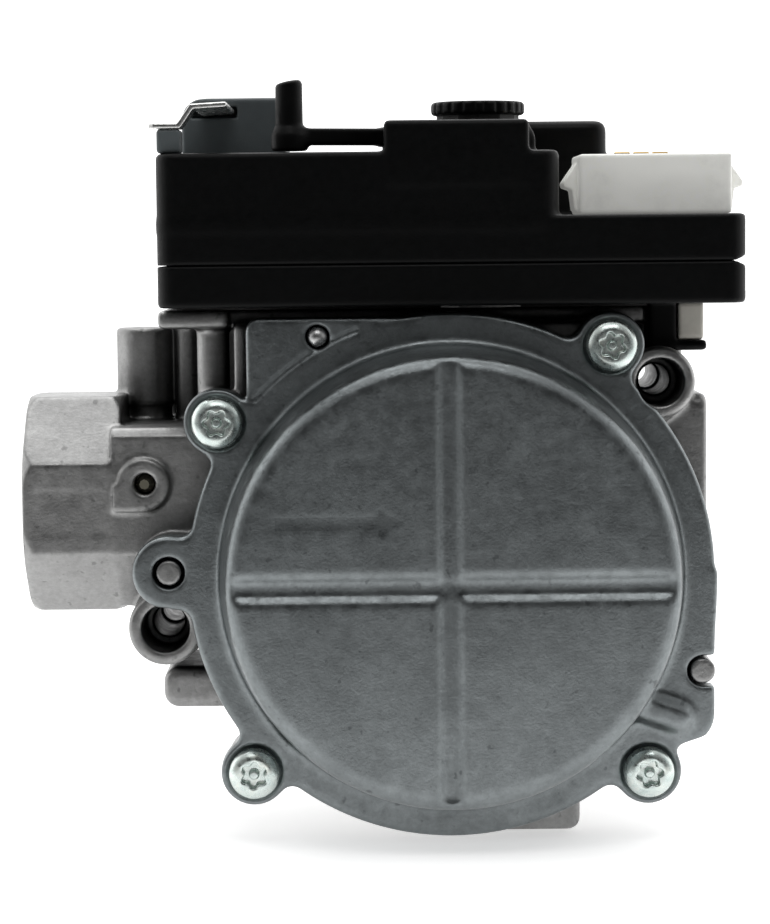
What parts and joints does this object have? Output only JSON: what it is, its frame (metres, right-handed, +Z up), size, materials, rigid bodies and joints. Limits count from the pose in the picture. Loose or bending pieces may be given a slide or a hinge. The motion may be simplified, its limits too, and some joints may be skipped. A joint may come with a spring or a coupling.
{
  "type": "gas valve",
  "caption": "Furnace gas control valve: cast aluminium body with round diaphragm cover and octagonal inlet, black solenoid housing with on/off lever, regulator cap and wiring connector.",
  "frame": {"origin": "centre of the inlet port at the inlet face, on the flow axis", "axes": "+X along the gas flow from inlet to outlet, +Z up towards the plastic housing, -Y towards the round diaphragm cover"},
  "size_m": [0.1142, 0.0692, 0.1187],
  "materials": {
    "casting": "die-cast, matt with a faint grain",
    "screw_steel": "bright blue zinc plate",
    "steel": "turned",
    "spring_steel": "drawn wire",
    "brass": "turned",
    "tin": "tin plated",
    "black_plastic": "moulded, finely textured",
    "grey_plastic": "moulded",
    "white_nylon": "moulded nylon",
    "beige_nylon": "moulded nylon",
    "rubber": "moulded nitrile rubber",
    "winding": "enamelled copper wire",
    "board": "solder mask"
  },
  "bodies": {
    "body": {"valve_body": "casting", "diaphragm_cover": "casting", "cover_screw_1": "screw_steel", "cover_screw_2": "screw_steel", "cover_screw_3": "screw_steel", "cover_screw_4": "screw_steel", "ball_plug": "steel", "diaphragm": "rubber", "main_spring": "spring_steel", "inlet_screen": "steel", "inlet_tap_plug": "brass", "outlet_tap_plug": "brass", "primary_guide_tube": "steel", "primary_coil": "winding", "primary_yoke": "steel", "primary_spring": "spring_steel", "servo_guide_tube": "steel", "servo_coil": "winding", "servo_yoke": "steel", "servo_spring": "spring_steel", "regulator_body": "casting", "regulator_diaphragm": "rubber", "regulator_spring": "spring_steel", "housing_gasket": "rubber", "housing_base": "black_plastic", "top_cover": "black_plastic", "housing_screw_1": "screw_steel", "housing_screw_2": "screw_steel", "housing_screw_3": "screw_steel", "terminal_block": "grey_plastic", "terminal_post": "grey_plastic", "ground_terminal": "tin", "connector_header": "white_nylon", "connector_pin_1": "brass", "connector_pin_2": "brass", "connector_pin_3": "brass", "retainer_wedge": "beige_nylon", "circuit_board": "board", "switch_block": "grey_plastic", "spring_seat": "brass", "cap_gasket": "rubber"},
    "main_valve": {"diaphragm_plate": "casting", "backing_plate": "steel", "main_valve_stem": "steel", "main_valve_disc": "casting", "main_valve_seal": "rubber"},
    "primary_armature": {"primary_plunger": "steel", "primary_seal": "rubber"},
    "servo_armature": {"servo_plunger": "steel", "servo_seal": "rubber"},
    "regulator_screw": {"adjusting_screw": "brass"},
    "cap": {"regulator_cap": "black_plastic"},
    "lever": {"switch_lever": "black_plastic", "switch_rotor": "black_plastic"}
  },
  "joints": [
    {"name": "main_valve_lift", "type": "slide", "parent": "body", "child": "main_valve", "axis": [0, -1, 0], "range_m": [0, 0.003], "stiffness_N_per_m": 120, "springref_m": -0.015, "deforming": ["diaphragm", "main_spring"]},
    {"name": "primary_lift", "type": "slide", "parent": "body", "child": "primary_armature", "axis": [0, 0, 1], "range_m": [0, 0.002], "stiffness_N_per_m": 80, "springref_m": -0.01, "deforming": ["primary_spring"]},
    {"name": "servo_lift", "type": "slide", "parent": "body", "child": "servo_armature", "axis": [0, 0, 1], "range_m": [0, 0.0012], "stiffness_N_per_m": 80, "springref_m": -0.01, "deforming": ["servo_spring"]},
    {"name": "adjust_turn", "type": "hinge", "parent": "body", "child": "regulator_screw", "pos_m": [0.0727, -0.01, 0.0527], "axis": [0, 0, 1], "range_deg": [-720, 720]},
    {"name": "cap_turn", "type": "hinge", "parent": "body", "child": "cap", "pos_m": [0.0727, -0.01, 0.0614], "axis": [0, 0, 1], "range_deg": [0, 720]},
    {"name": "lever_turn", "type": "hinge", "parent": "body", "child": "lever", "pos_m": [0.0615, -0.014, 0.057], "axis": [0, 0, -1], "range_deg": [0, 40]}
  ]
}
